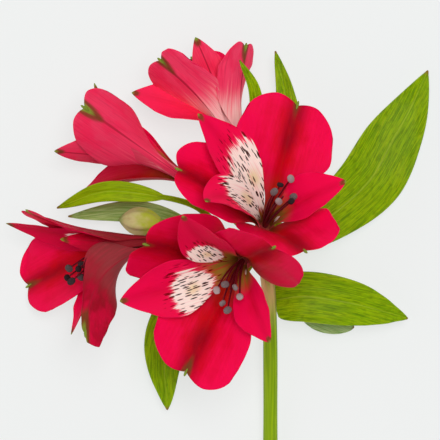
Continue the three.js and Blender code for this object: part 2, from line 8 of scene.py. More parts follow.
import bpy
import numpy as np
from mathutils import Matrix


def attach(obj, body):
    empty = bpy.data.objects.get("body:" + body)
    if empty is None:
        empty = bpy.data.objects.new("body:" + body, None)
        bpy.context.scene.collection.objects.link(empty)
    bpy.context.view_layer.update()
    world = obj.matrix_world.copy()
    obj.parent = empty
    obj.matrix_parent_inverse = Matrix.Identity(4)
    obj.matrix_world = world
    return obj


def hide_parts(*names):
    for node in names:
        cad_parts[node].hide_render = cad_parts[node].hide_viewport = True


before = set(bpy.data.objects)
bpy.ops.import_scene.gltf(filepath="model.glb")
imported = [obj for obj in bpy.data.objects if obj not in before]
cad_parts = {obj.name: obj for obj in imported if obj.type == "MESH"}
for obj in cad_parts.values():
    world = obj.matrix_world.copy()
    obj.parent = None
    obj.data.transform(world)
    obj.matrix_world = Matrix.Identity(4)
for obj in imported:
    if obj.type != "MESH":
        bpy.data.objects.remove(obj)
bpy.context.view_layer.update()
scene = bpy.context.scene

# ---- Driving dimensions, in millimetres ----
MILLIMETRE = 0.001
ORIGIN = np.array([17.3, 44.8, 0.0])  # from the surface under the umbel to the model's origin
CUT_END_Y = -176.0
STEM_RADIUS = 3.2
STEM_SIDES = 10  # facets of the solid stem, whose lowest one lies on the surface
STEM_TAPER = 0.4
STEM_OFFSET = 4.0
STEM_CURVE = 12.0
REST_LENGTH = 52.0
CUT_SLANT = 0.45
UMBEL_HEIGHT = 22.0
KNOB_RADIUS = 3.8
PEDICEL_RADIUS = 1.2
PEDICEL_SWELL = 0.3
OVARY_LENGTH = 8.2
OVARY_RADIUS = 2.5
OVARY_RIBS = 6
RIB_DEPTH = 0.12
BLADE_THICKNESS = 0.5
RIM_THICKNESS = 0.22
FLOOR_CLEARANCE = 0.3  # a blade's middle never comes lower than this
LOWEST_POINT = 0.01  # and nothing of it lower than this
RIM_BULGE = 0.4  # how far its rim stands out, as a share of its thickness
JOINT_GAP = 0.35
RECEPTACLE_HEIGHT = 1.2
FILAMENT_RADIUS = 0.5
ANTHER_LENGTH = 3.6
ANTHER_RADIUS = 1.15
BUD_RADIUS = 5.8
MIDRIB_STEPS = 96
NOTCH_WIDTH = 0.5  # how much of a blade's width its notch takes up
WAVES = 2
WAVE_OFFSET = 1.3
LEAF_TIP = 0.3
UMBEL = np.array([0.0, 0.0, UMBEL_HEIGHT])
UP = np.array([0.0, 0.0, 1.0])

TEPAL_ROWS = 44
TEPAL_COLUMNS = 30
LEAF_ROWS = 72
LEAF_COLUMNS = 22
# Facets around each kind of tube, its ribs, and how high they are as a share of its radius.
TUBES = {
    "mucro": (10, 0, 0), "filament": (10, 0, 0), "stamen_foot": (18, 0, 0), "anther": (20, 2, 0.24),
    "pedicel": (16, 5, 0.05), "stem": (32, 8, 0.018), "knob": (32, 7, 0.05),
    "receptacle": (36, OVARY_RIBS, 0.03), "ovary": (48, OVARY_RIBS, RIB_DEPTH / 2),
    "bud": (60, OVARY_RIBS, 0.09),
}

# ---- The blooms and leaves ----
# The shapes are those of the solid model, apart from the first inner tepal of the right bloom, the
# flap of the third outer one of the left bloom, and the start of the two lower leaves on the right.


def round_tip(q):
    return 1 - np.sqrt(np.clip(1 - q * q, 0, 1))


def pointed_tip(q):
    return np.abs(q) ** 1.25


# azimuth: where a tepal stands around the flower's axis. opening: how far it leans from the axis
# at its base, middle and end. swing: how far its end is turned around the axis. twist: how far it
# turns about its midrib, at three places. All in degrees.
# width, claw: half across its widest place and its base. filled, grow: where it is widest, and how
# late it widens. narrowing, shoulder, tip_fall: how its end narrows and curves in. skew, side: how
# much longer and wider one side is. cup: how it is bent across, at three places. wave: the height
# of its waves, as a share of its width. base_radius: how far its foot is from the axis. flap: how
# far one side folds out below its middle, as a share of its half width. deep: how much
# painted shade darkens its red, or how much painted light turns it pink where it is below 0.
# smudge: how strong the mark at its notch is. patch: where its cream patch lies, as (along,
# across, length, width).
OUTER = dict(
    kind="outer", claw=2.4, filled=0.74, grow=1.3, narrowing=0.06, shoulder=0.7,
    tip_fall=round_tip, notch=0.07, skew=0, side=0, swing=0, twist=(0, 0, 0), cup=(1, 0.7, 0.2),
    wave=0.05, base_radius=2.6, smudge=0.5, flap=0, deep=0,
)
INNER = dict(
    OUTER, kind="inner", claw=2, filled=0.72, narrowing=0.35, shoulder=0.8, tip_fall=pointed_tip,
    notch=0, cup=(1, 0.7, 0.3), wave=0.03, base_radius=1.9, patch=(0.4, 0, 0.2, 0.6),
)


def outer(azimuth, opening, length, width, **changes):
    return dict(OUTER, azimuth=azimuth, opening=opening, length=length, width=width, **changes)


def inner(azimuth, opening, length, width, **changes):
    return dict(INNER, azimuth=azimuth, opening=opening, length=length, width=width, **changes)


# base: the top of the ovary. leans, tilt: which way the flower's axis leans and how far from
# upright. dip: how its pedicel is pulled aside. stamens, bend, spread: how long its stamens are,
# which way and how far they bend, and how far they spread. pale: how pale and streaked its outside
# is. anther: how pale its anthers are.
BLOOMS = {
    "right": dict(
        base=(1, 9, 39.5), leans=75, tilt=30, dip=(0, 0, 0), stamens=28, bend=(20, 12), spread=10,
        pale=0, anther=0.35,
        tepals=[
            outer(75, (22, 60, 70), 54, 20.5, filled=0.86, grow=2.3, skew=0.05, side=0.06,
                  cup=(1, 0.45, 0.1), smudge=0.55),
            outer(164, (24, 60, 72), 49, 15.5, skew=-0.06, side=-0.1, cup=(1, 0.45, 0.1),
                  smudge=0.4),
            outer(288, (19, 43, 66), 42, 20, skew=0.1, swing=14, twist=(0, -5, -5), smudge=0.4),
            inner(131, (20, 50, 66), 57, 10.8, filled=0.74, side=0.05, swing=14, deep=0.1,
                  patch=(0.39, -0.5, 0.28, 1.25)),
            inner(177, (16, 40, 54), 52, 10, swing=66, patch=(0.34, -0.55, 0.3, 1.2)),
            inner(3, (14, 36, 48), 45.5, 10.5, patch=(0.15, 0, 0.06, 0.3)),
        ],
    ),
    "near": dict(
        base=(-7.5, -4, 43), leans=226, tilt=27, dip=(0, 0, 0), stamens=28, bend=(289, 14),
        spread=10, pale=0, anther=0.6,
        tepals=[
            outer(157, (27, 58, 52), 46.5, 18, notch=0.12, skew=0.14, side=-0.1,
                  cup=(0.8, 0.2, 0.1), deep=0.5),
            outer(38, (16, 42, 60), 48, 20, twist=(5, 20, 22), cup=(0.9, 0.2, 0), deep=0.4),
            outer(246, (22, 60, 72), 54, 21, skew=0.05, smudge=0.8),
            inner(112, (16, 40, 54), 52, 10.5, swing=-12, deep=0.5, patch=(0.43, 0.55, 0.17, 0.65)),
            inner(191, (18, 54, 66), 54, 12.5, deep=0.15, patch=(0.45, 0.3, 0.175, 0.85)),
            inner(317, (14, 40, 50), 46, 9.5, deep=0.1, patch=(0.14, 0, 0.05, 0.3)),
        ],
    ),
    "left": dict(
        base=(-46, 2.5, 22), leans=182, tilt=70, dip=(0, 0, -0.5), stamens=35, bend=(280, 21),
        spread=4, pale=-0.4, anther=0,
        tepals=[
            outer(92, (0, 13, 29), 56, 14, cup=(0.9, 0.35, 0.1), base_radius=3, deep=0.2),
            outer(207, (0, 46, 62), 62, 17.5, skew=-0.05, shoulder=0.78, cup=(1, 0.5, 0),
                  base_radius=3, smudge=0.7, deep=0.15),
            outer(305, (3, 52, 82), 60.5, 8.6, skew=-0.2, filled=0.6, narrowing=0.4, side=-0.65,
                  twist=(0, 60, 60), cup=(1.2, 0.3, 0.1), base_radius=3, smudge=1, flap=1,
                  deep=0.8),
            inner(157, (0, 24, 36), 60, 7, twist=(0, -24, -36), deep=0.7,
                  patch=(0.45, 0, 0.12, 0.6)),
            inner(266, (4, 50, 68), 51, 8),
            inner(30, (2, 6, 12), 40, 5, deep=0.3),
        ],
    ),
    "far_left": dict(
        base=(-32, 29.5, 23), leans=145, tilt=88, dip=(0, 0, 0), stamens=33, bend=(235, 4),
        spread=2, pale=0.15, anther=0.3,
        tepals=[
            outer(325, (2, 12, 22), 54, 15, grow=2.6, filled=0.84, skew=0.05, side=-0.15,
                  cup=(1.2, 1, 0.3), smudge=1.1),
            outer(205, (20, 50, 62), 47, 14.5, deep=0.9),
            outer(142, (4, 20, 32), 46, 7.5),
            inner(235, (2, 24, 32), 54, 12, twist=(0, 30, 40), deep=0.35),
            inner(50, (0, 5, 38), 54, 6.5, twist=(0, 0, -30)),
            inner(160, (2, 8, 12), 44, 7, patch=(0.3, 0, 0.15, 0.5)),
        ],
    ),
    "far": dict(
        base=(-9, 43, 20), leans=114, tilt=86, dip=(0, 0, -1), stamens=32, bend=(204, 0),
        spread=1.5, pale=1.1, anther=0.3,
        tepals=[
            outer(249, (4, 26, 36), 53, 17, grow=2.6, skew=0.1, side=-0.3, cup=(1, 0.5, 0.1),
                  smudge=0.9),
            outer(8, (4, 28, 36), 43, 13, skew=-0.04, twist=(0, -16, -20), smudge=0.9),
            outer(122, (6, 28, 40), 48, 14),
            inner(196, (4, 43, 56), 50, 9.5, twist=(0, -50, -60), deep=-0.35,
                  patch=(0.2, 0, 0.12, 0.4)),
            inner(305, (2, 10, 16), 48.5, 8.5, swing=-12),
            inner(60, (4, 26, 30), 42, 8, patch=(0.3, 0, 0.15, 0.5)),
        ],
    ),
}

LEAF = dict(stalk=1.6, begins=0, peak=0.9, full=0.8, point=0.8, cup=(0.6, 0.4, 0.3), wave=0.04,
            waves=2.5, tone=0, yellow=0.3)
# foot: the way from the umbel to its foot, or start: the foot itself. line: where its midrib then
# passes. stalk: half across its foot. begins, peak: where along it the blade starts and is widest.
# full, point: how blunt its base and its tip are. tone: from 0 for the glossy green side to 1 for
# the grey-green underside. yellow: how yellow.
LEAVES = {
    "long_right": dict(
        LEAF, foot=(1, -0.1, -0.15), width=13.4, peak=1.1, full=0.9, point=0.9,
        line=[(18, 6, 15), (33.5, 17, 8), (46.5, 29.5, 1.6), (55, 44.5, -0.2), (63, 59, 0.2),
              (70, 74.5, 3)],
    ),
    "near_right": dict(
        LEAF, start=(6.2, -21, 17.6), stalk=4.5, width=9.3, peak=0.66, full=0.5, point=1.15,
        line=[(18, -19.5, 21), (35.5, -22, 20), (49.5, -25.5, 15), (61, -29, 10)],
    ),
    "low_right": dict(
        LEAF, start=(5.0, -22.2, 16.0), width=6.4, begins=0.3, full=0.6, point=0.6, tone=0.9,
        line=[(17, -25, 8), (28, -29, 5), (39, -33, 3)],
    ),
    "near_left": dict(
        LEAF, foot=(-0.75, -0.66, -0.3), stalk=1.2, width=10.5,
        line=[(-27.5, -21, 18), (-39.5, -40, 13), (-39, -67, 8)],
    ),
    "left_upper": dict(
        LEAF, foot=(-0.85, 0.25, 0.5), width=4.2, begins=0.56, yellow=0.9,
        line=[(-14.5, 6.5, 27), (-27, 17.5, 30), (-44.5, 22, 30), (-64.5, 23.5, 29), (-84, 17, 21)],
    ),
    "left_lower": dict(
        LEAF, foot=(-0.6, 0.2, -1), width=4.7, begins=0.44, tone=0.7,
        line=[(-17, 5, 13), (-33.5, 11, 11), (-54, 15.5, 11), (-80, 13.5, 10)],
    ),
    "far": dict(
        LEAF, foot=(0.48, 0.66, -0.57), width=5,
        line=[(7, 20.5, 15), (11, 49.5, 12), (10, 65, 12), (6, 82, 12)],
    ),
    "bract": dict(
        LEAF, start=(-3.6, 29.9, 21), stalk=0.9, width=2.7,
        line=[(-2, 48.5, 30), (-3, 64.5, 36), (-9, 76.5, 40)],
    ),
}
YOUNG_BUD = dict(foot=(-41.5, 11, 19), tip=(-58.5, 12, 18), dip=(0, 2, -3))

# ---- Small maths, on whole arrays at a time ----


def vec(*values):
    return np.array(values, dtype=float)


def unit(v):
    return v / np.maximum(np.linalg.norm(v, axis=-1, keepdims=True), 1e-9)


def ease(x):
    t = np.clip(x, 0, 1)
    return t * t * (3 - 2 * t)


def through(values, s):
    """The quadratic that takes the three values at s = 0, 1/2 and 1."""
    start, middle, end = values
    return start * (1 - s) * (1 - 2 * s) + 4 * middle * s * (1 - s) + end * s * (2 * s - 1)


def along(points, s):
    """A smooth line through given points, at s = 0..1 spread evenly over the spans."""
    points = np.asarray(points, dtype=float)
    spans = len(points) - 1
    padded = np.vstack([2 * points[0] - points[1], points, 2 * points[-1] - points[-2]])
    x = np.clip(s, 0, 1) * spans
    i = np.minimum(np.floor(x).astype(int), spans - 1)
    f = (x - i)[..., None]
    return (
        padded[i] * 0.5 * (-f + 2 * f**2 - f**3)
        + padded[i + 1] * 0.5 * (2 - 5 * f**2 + 3 * f**3)
        + padded[i + 2] * 0.5 * (f + 4 * f**2 - 3 * f**3)
        + padded[i + 3] * 0.5 * (-(f**2) + f**3)
    )


def bent_across(half, bend, q):
    """Where a bent cross-section lies at q = -1..1 across: sideways, and up from the midrib."""
    b = np.where(np.abs(bend) < 1e-3, 1e-3, bend)
    return half * np.sin(b * q) / b, half * (1 - np.cos(b * q)) / b


def blade_thickness(rim):
    """How thick a blade is, from rim = 0 in its middle to 1 at its rim."""
    return BLADE_THICKNESS - (BLADE_THICKNESS - RIM_THICKNESS) * rim


def wave_at(size, count, s, q):
    return size * q * q * np.sin(2 * math.pi * count * s + WAVE_OFFSET * np.sign(q))


# ---- Meshes ----


def add_object(name, data):
    thing = bpy.data.objects.new(name, data)
    scene.collection.objects.link(thing)
    return thing


def add_piece(name, points, faces, marks, material, slot, node):
    """One visible piece, in place of a node of the solid model. Marks are values per point."""
    mesh = bpy.data.meshes.new(name)
    placed = (np.asarray(points) + ORIGIN) * MILLIMETRE
    placed[:, 2] = np.maximum(placed[:, 2], 0)
    mesh.from_pydata(placed.tolist(), [], faces)
    for mark, values in marks.items():
        kind, field = ("FLOAT_VECTOR", "vector") if np.ndim(values) == 2 else ("FLOAT", "value")
        layer = mesh.attributes.new(mark, kind, "POINT")
        layer.data.foreach_set(field, np.asarray(values, dtype=np.float32).ravel())
    mesh.polygons.foreach_set("use_smooth", [True] * len(mesh.polygons))
    mesh.materials.append(material)
    mesh.validate()
    mesh.update()
    piece = add_object(name, mesh)
    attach(piece, "root")
    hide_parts(node)


def join_parts(parts):
    """Joins (points, faces, marks) lists into one. Marks that a part lacks are 0 there."""
    names = sorted({name for _, _, marks in parts for name in marks})
    points, faces, marks = [], [], {name: [] for name in names}
    for part_points, part_faces, part_marks in parts:
        shift = sum(len(p) for p in points)
        points.append(part_points)
        faces += [[i + shift for i in face] for face in part_faces]
        for name in names:
            marks[name].append(part_marks.get(name, np.zeros(len(part_points))))
    marks = {name: np.concatenate(values) for name, values in marks.items()}
    return np.vstack(points), faces, marks


def thin_solid(middle, thickness, marks):
    """A closed thin blade on both sides of a grid of points, with a rounded rim."""
    rows, columns, _ = middle.shape
    middle = middle.copy()
    middle[..., 2] = np.maximum(middle[..., 2], FLOOR_CLEARANCE)
    forward = np.gradient(middle, axis=0)
    across = np.gradient(middle, axis=1)
    face = unit(np.cross(forward, across))
    offset = face * (thickness / 2)[..., None]
    rim = [(j, 0) for j in range(rows - 1)]
    rim += [(rows - 1, i) for i in range(columns - 1)]
    rim += [(j, columns - 1) for j in range(rows - 1, 0, -1)]
    rim += [(0, i) for i in range(columns - 1, 0, -1)]
    rim_rows, rim_columns = np.array(rim).T
    border = middle[rim_rows, rim_columns]
    along_rim = np.roll(border, -1, 0) - np.roll(border, 1, 0)
    outward = unit(np.cross(along_rim, face[rim_rows, rim_columns]))
    border = border + outward * RIM_BULGE * thickness[rim_rows, rim_columns][:, None]
    points = np.vstack([(middle + offset).reshape(-1, 3), (middle - offset).reshape(-1, 3), border])
    points[:, 2] = np.maximum(points[:, 2], LOWEST_POINT)
    count = rows * columns
    faces = []
    for j in range(rows - 1):
        for i in range(columns - 1):
            a = j * columns + i
            b, c, d = a + columns, a + columns + 1, a + 1
            faces.append([a, b, c, d])
            faces.append([a + count, d + count, c + count, b + count])
    for k, (j, i) in enumerate(rim):
        n = (k + 1) % len(rim)
        a, b = j * columns + i, rim[n][0] * columns + rim[n][1]
        m, o = 2 * count + k, 2 * count + n
        faces.append([a, m, o, b])
        faces.append([m, a + count, b + count, o])
    spread = {}
    for name, values in marks.items():
        flat = values.reshape(count, *values.shape[2:])
        spread[name] = np.concatenate([flat, flat, flat[rim_rows * columns + rim_columns]])
    spread["side"] = np.concatenate([np.ones(count), np.zeros(count), np.full(len(rim), 0.5)])
    return points, faces, spread


def skin(rings, marks=None):
    """A closed tube over rings of points, each counter-clockwise seen from the last ring."""
    rings = np.asarray(rings, dtype=float)
    count, sides, _ = rings.shape
    points = np.vstack([rings.reshape(-1, 3), rings[0].mean(0), rings[-1].mean(0)])
    first, last, top = count * sides, count * sides + 1, (count - 1) * sides
    faces = []
    for j in range(count - 1):
        for i in range(sides):
            a, b = j * sides + i, j * sides + (i + 1) % sides
            faces.append([a, b, b + sides, a + sides])
    for i in range(sides):
        n = (i + 1) % sides
        faces.append([first, n, i])
        faces.append([last, top + i, top + n])
    angle = np.arange(sides) * 2 * math.pi / sides
    middle = rings.mean(1)
    length = np.concatenate([[0], np.cumsum(np.linalg.norm(np.diff(middle, axis=0), axis=1))])
    radius = np.linalg.norm(rings - middle[:, None], axis=2)
    grain = np.stack([
        radius * np.cos(angle), radius * np.sin(angle), np.repeat(length[:, None], sides, 1),
    ], axis=2).reshape(-1, 3)
    spread = {"grain": np.vstack([grain, (0, 0, 0), (0, 0, length[-1])])}
    for name, values in {"along": np.linspace(0, 1, count), **(marks or {})}.items():
        spread[name] = np.concatenate([np.repeat(values, sides), [values[0], values[-1]]])
    return points, faces, spread


def tube(centres, radii, kind, marks=None):
    """A round or ribbed tube along a line of points, with as little turn as can be."""
    sides, ribs, rib_depth = TUBES[kind]
    centres = np.asarray(centres, dtype=float)
    tangents = unit(np.gradient(centres, axis=0))
    side = unit(np.cross(tangents[0], UP + vec(0.11, 0.07, 0)))
    angle = np.arange(sides) * 2 * math.pi / sides
    rings = []
    for k, (centre, tangent) in enumerate(zip(centres, tangents)):
        side = unit(side - tangent * np.dot(side, tangent))
        other = np.cross(tangent, side)
        radius = radii[k] * (1 + rib_depth * np.cos(ribs * angle))
        ring = np.outer(radius * np.cos(angle), side) + np.outer(radius * np.sin(angle), other)
        rings.append(centre + ring)
    return skin(rings, marks)


def set_evenly(part, **values):
    """Gives every point of a part the same value of each mark."""
    points, _, marks = part
    for name, value in values.items():
        marks[name] = np.full(len(points), float(value))


# ---- Tepals ----


def axes_of(bloom):
    """The flower's own axes u, v, w, with w along it, turned as little as possible from X, Y, Z."""
    lean, tilt = math.radians(bloom["leans"]), math.radians(bloom["tilt"])
    hinge = vec(-math.sin(lean), math.cos(lean), 0)

    def turned(v):
        return (v * math.cos(tilt) + np.cross(hinge, v) * math.sin(tilt)
                + hinge * np.dot(hinge, v) * (1 - math.cos(tilt)))

    return turned(vec(1, 0, 0)), turned(vec(0, 1, 0)), turned(vec(0, 0, 1))


def around_axis(axes, angle):
    """The direction square to the flower's axis at an angle round it."""
    return axes[0] * math.cos(angle) + axes[1] * math.sin(angle)


def directions(axes, tepal, s):
    """Along the blade at shares s of its midrib: outward, sideways, forward and face."""
    u, v, w = axes
    opening = np.radians(through(tepal["opening"], s))[..., None]
    around = np.radians(tepal["azimuth"] + tepal["swing"] * s * s)[..., None]
    outward = u * np.cos(around) + v * np.sin(around)
    sideways = v * np.cos(around) - u * np.sin(around)
    forward = w * np.cos(opening) + outward * np.sin(opening)
    face = w * np.sin(opening) - outward * np.cos(opening)
    return outward, sideways, forward, face


def midrib(base, axes, tepal):
    steps = (np.arange(MIDRIB_STEPS) + 0.5) / MIDRIB_STEPS
    start = base + directions(axes, tepal, vec(0))[0][0] * tepal["base_radius"]
    moves = directions(axes, tepal, steps)[2] * tepal["length"] / MIDRIB_STEPS
    points = np.vstack([start, start + np.cumsum(moves, axis=0)])
    shares = np.linspace(0, 1, MIDRIB_STEPS + 1)

    def at(s):
        return np.stack([np.interp(s, shares, points[:, k]) for k in range(3)], axis=-1)

    return at


MIDRIB_CREASE = 0.9  # depth of the fold along the middle of an outer tepal
SHALLOW_CREASE = 0.2  # and of an inner one
CREASE_WIDTH = 1.7
RUFFLE = 0.35  # height of the edge's fine waves
RUFFLES = 5.5
FLAP_PLACE = 0.38  # where along the blade a flap is widest, and how far it reaches from there
FLAP_REACH = 0.19
SMUDGE_START = 0.76  # where along an outer tepal its mark starts, and how wide it is
SMUDGE_WIDTH = 2.3
DARK_TIP_START = 0.9  # the same for the tip of an inner one
DARK_TIP_WIDTH = 1.3
NO_PATCH = -1.0
# The green point in a notch, as (share of the blade past the notch, radius), and how far behind the
# blade it is. The receptacle, as (height above the ovary, radius).
MUCRO_SHAPE = [(-0.04, 0.2), (-0.015, 0.5), (0.01, 0.6), (0.03, 0.45), (0.04, 0.15)]
MUCRO_SINK = 0.25
RECEPTACLE_SHAPE = [(-0.7, 1.9), (0.0, 2.6), (0.25, 3.5), (0.7, 3.9), (1.1, 3.75), (1.3, 3.0)]


def tepal_part(base, axes, tepal, seed):
    """The middle of a tepal's blade as a grid of points, with what its marks are made from."""
    sigma = np.linspace(0, 1, TEPAL_ROWS + 1)[:, None] * np.ones(TEPAL_COLUMNS + 1)
    q = np.linspace(-1, 1, TEPAL_COLUMNS + 1) * np.ones((TEPAL_ROWS + 1, 1))
    dip = tepal["notch"] * np.maximum(0, 1 - np.abs(q) / NOTCH_WIDTH) ** 1.5
    end = 1 - (1 - tepal["shoulder"]) * tepal["tip_fall"](q) - dip + tepal["skew"] * q
    s = sigma * end
    _, sideways, _, face = directions(axes, tepal, s)
    roll = np.radians(through(tepal["twist"], s))[..., None]
    across = sideways * np.cos(roll) + face * np.sin(roll)
    up = face * np.cos(roll) - sideways * np.sin(roll)
    claw, width, filled = tepal["claw"], tepal["width"], tepal["filled"]
    widened = claw + (width - claw) * ease(sigma / filled) ** tepal["grow"]
    past = np.clip((sigma - filled) / (1 - filled), 0, 1)
    half = (widened - width * tepal["narrowing"] * past * past) * (1 + tepal["side"] * q)
    fold_out = np.exp(-(((s - FLAP_PLACE) / FLAP_REACH) ** 2))
    half = half + widened * tepal["flap"] * np.maximum(q, 0) * fold_out
    x, z = bent_across(half, through(tepal["cup"], s), q)
    wave = wave_at(tepal["wave"] * width * ease(1.4 * s), WAVES, s, q)
    phase = 2.1 * seed
    ruffle = RUFFLE * np.abs(q) ** 5 * ease(2 * s - 0.6)
    ruffle = ruffle * np.sin(2 * math.pi * RUFFLES * s + phase + 1.9 * np.sign(q))
    depth = MIDRIB_CREASE if tepal["kind"] == "outer" else SHALLOW_CREASE
    crease = -depth * np.exp(-((q * half / CREASE_WIDTH) ** 2)) * ease(3 * s)
    crease = crease * ease(5 * (1 - sigma))
    height = (z + wave + ruffle + crease)[..., None]
    middle = midrib(base, axes, tepal)(s) + across * x[..., None] + up * height
    thickness = blade_thickness(np.maximum(np.abs(q) ** 8, sigma**16))
    return middle, thickness, s, sigma, q, half


def tepal_marks(tepal, s, sigma, q, half, pale):
    """What the petal material reads: the place on the tepal, and where its patches lie."""
    middle_line = np.abs(q) * half
    marks = {
        "grain": np.stack([q * half, np.zeros_like(q), s * tepal["length"]], axis=2),
        "along": s,
        "across": q,
        "pale": np.full_like(q, pale),
        "outer": np.full_like(q, float(tepal["kind"] == "outer")),
        # how much painted shade darkens the tepal, or painted light turns it pink
        "deep": np.full_like(q, tepal["deep"]),
    }
    if tepal["kind"] == "outer":
        reach = np.clip((sigma - SMUDGE_START) / (1 - SMUDGE_START), 0, 1)
        marks["tip"] = tepal["smudge"] * reach * np.exp(-((middle_line / SMUDGE_WIDTH) ** 2))
        marks["patch"] = np.full_like(q, NO_PATCH)
    else:
        reach = np.clip((sigma - DARK_TIP_START) / (1 - DARK_TIP_START), 0, 1)
        marks["tip"] = reach * np.exp(-((middle_line / DARK_TIP_WIDTH) ** 2))
        centre_s, centre_q, long, wide = tepal["patch"]
        marks["patch"] = 1 - np.sqrt(((s - centre_s) / long) ** 2 + ((q - centre_q) / wide) ** 2)
    return marks


def mucro(base, axes, tepal):
    """The small blunt green point in the notch of an outer tepal, as a tapered tube."""
    end = 1 - tepal["notch"]
    shares = np.array([end + step for step, _ in MUCRO_SHAPE])
    _, _, forward, face = directions(axes, tepal, shares)
    centres = midrib(base, axes, tepal)(np.minimum(shares, end)) - face * MUCRO_SINK
    centres = centres + forward * (np.maximum(shares - end, 0) * tepal["length"])[:, None]
    part = tube(centres, [radius for _, radius in MUCRO_SHAPE], "mucro")
    set_evenly(part, along=0.98, tip=1.2, patch=NO_PATCH, outer=1)
    return part


def add_tepals(bloom_name, bloom, material):
    base = vec(*bloom["base"])
    axes = axes_of(bloom)
    for number, tepal in enumerate(bloom["tepals"]):
        seed = number + bloom["leans"]
        middle, thickness, s, sigma, q, half = tepal_part(base, axes, tepal, seed)
        marks = tepal_marks(tepal, s, sigma, q, half, bloom["pale"])
        parts = [thin_solid(middle, thickness, marks)]
        if tepal["kind"] == "outer":
            parts.append(mucro(base, axes, tepal))
        piece = f"tepal_{bloom_name}_{tepal['kind']}_{number % 3 + 1}"
        add_piece(piece, *join_parts(parts), material, "tepal", f"tepals_{bloom_name}")
    centres = [base + axes[2] * height for height, _ in RECEPTACLE_SHAPE]
    cup = tube(centres, [radius for _, radius in RECEPTACLE_SHAPE], "receptacle")
    set_evenly(cup, tip=0.3, patch=NO_PATCH, outer=1)
    add_piece(f"receptacle_{bloom_name}", *cup, material, "tepal", f"tepals_{bloom_name}")


# ---- Stamens and style ----
STAMENS = 6
STYLE_SHARE = 0.75
FILAMENT_SINK = 0.6
UNEVEN_PLACE = 0.25
UNEVEN_LENGTH = 0.18
ANTHER_LEAN = 0.9  # how far an anther leans over on its filament, as a slope
ANTHER_SHADES = 0.35  # how much paler or darker than its neighbours an anther may be
STAMEN_FOOT_SHAPE = [(-0.6, 0.9), (0.4, 1.2), (1.0, 1.15), (1.5, 0.7)]  # (height, radius)
FILAMENT_TAPER = (1.1, 0.45)  # its radius at its foot, and how much less at its end, in shares
STYLE_TAPER = (1.0, 0.3)
FILAMENT_RINGS = 22
STYLE_RINGS = 18
ANTHER_RINGS = 13


def filament_line(base, axes, bloom, around, length):
    to, by = (math.radians(a) for a in bloom["bend"])
    start = RECEPTACLE_HEIGHT + JOINT_GAP + FILAMENT_SINK

    def at(s):
        far = np.asarray(s)[..., None] * length
        curve = math.tan(by) * far * np.asarray(s)[..., None]
        place = base + axes[2] * (start + far) + around_axis(axes, to) * curve
        if around is None:
            return place
        lean = FILAMENT_SINK + math.tan(math.radians(bloom["spread"])) * far
        return place + around_axis(axes, around) * lean

    return at


def add_stamens(bloom_name, bloom, turn, filament_skin, anther_skin):
    base = vec(*bloom["base"])
    axes = axes_of(bloom)
    filaments, anthers = [], []
    foot = RECEPTACLE_HEIGHT + JOINT_GAP
    centres = [base + axes[2] * (foot + h) for h, _ in STAMEN_FOOT_SHAPE]
    filaments.append(tube(centres, [r for _, r in STAMEN_FOOT_SHAPE], "stamen_foot"))
    for i in range(STAMENS):
        around = 2 * math.pi * (i + UNEVEN_PLACE * math.sin(turn + 2.4 * i)) / STAMENS + turn
        length = bloom["stamens"] * (1 - UNEVEN_LENGTH * (1 - abs(math.sin(turn + 1.7 * i))))
        line = filament_line(base, axes, bloom, around, length)
        joint = 1 - 0.5 * ANTHER_LENGTH / length
        shares = np.linspace(0, joint, FILAMENT_RINGS)
        taper = FILAMENT_RADIUS * (FILAMENT_TAPER[0] - FILAMENT_TAPER[1] * shares)
        filaments.append(tube(line(shares), taper, "filament"))
        direction = unit(axes[2] + around_axis(axes, 2.3 * i + turn) * ANTHER_LEAN)
        t = np.linspace(-1, 1, ANTHER_RINGS)
        centres = line(joint) + np.outer(t * ANTHER_LENGTH / 2, direction)
        swell = ANTHER_RADIUS * np.sqrt(np.clip(1 - t * t, 0.015, 1)) ** 0.8
        shade = bloom["anther"] + ANTHER_SHADES * math.sin(2.1 * i + 5 * turn)
        marks = {"shade": np.full(len(t), min(1, max(0, shade)))}
        anthers.append(tube(centres, swell, "anther", marks))
    line = filament_line(base, axes, bloom, None, bloom["stamens"] * STYLE_SHARE)
    shares = np.linspace(0, 1, STYLE_RINGS)
    taper = FILAMENT_RADIUS * (STYLE_TAPER[0] - STYLE_TAPER[1] * shares)
    filaments.append(tube(line(shares), taper, "filament"))
    node = f"stamens_{bloom_name}"
    add_piece(f"filaments_{bloom_name}", *join_parts(filaments), filament_skin, "stamen", node)
    add_piece(f"anthers_{bloom_name}", *join_parts(anthers), anther_skin, "stamen", node)


# ---- Leaves ----
VEINS = 7  # raised lengthwise veins across a leaf
VEIN_HEIGHT = 0.07
KEEL_DEPTH = 0.5  # of the fold along the midrib, and how wide it is
KEEL_WIDTH = 0.9
EDGE_RUFFLE = 0.03  # height of the fine waves of the edge, as a share of the width
EDGE_RUFFLES = 6
LEAF_FOOT_SINK = 0.8  # how deep in the knob a leaf's foot is


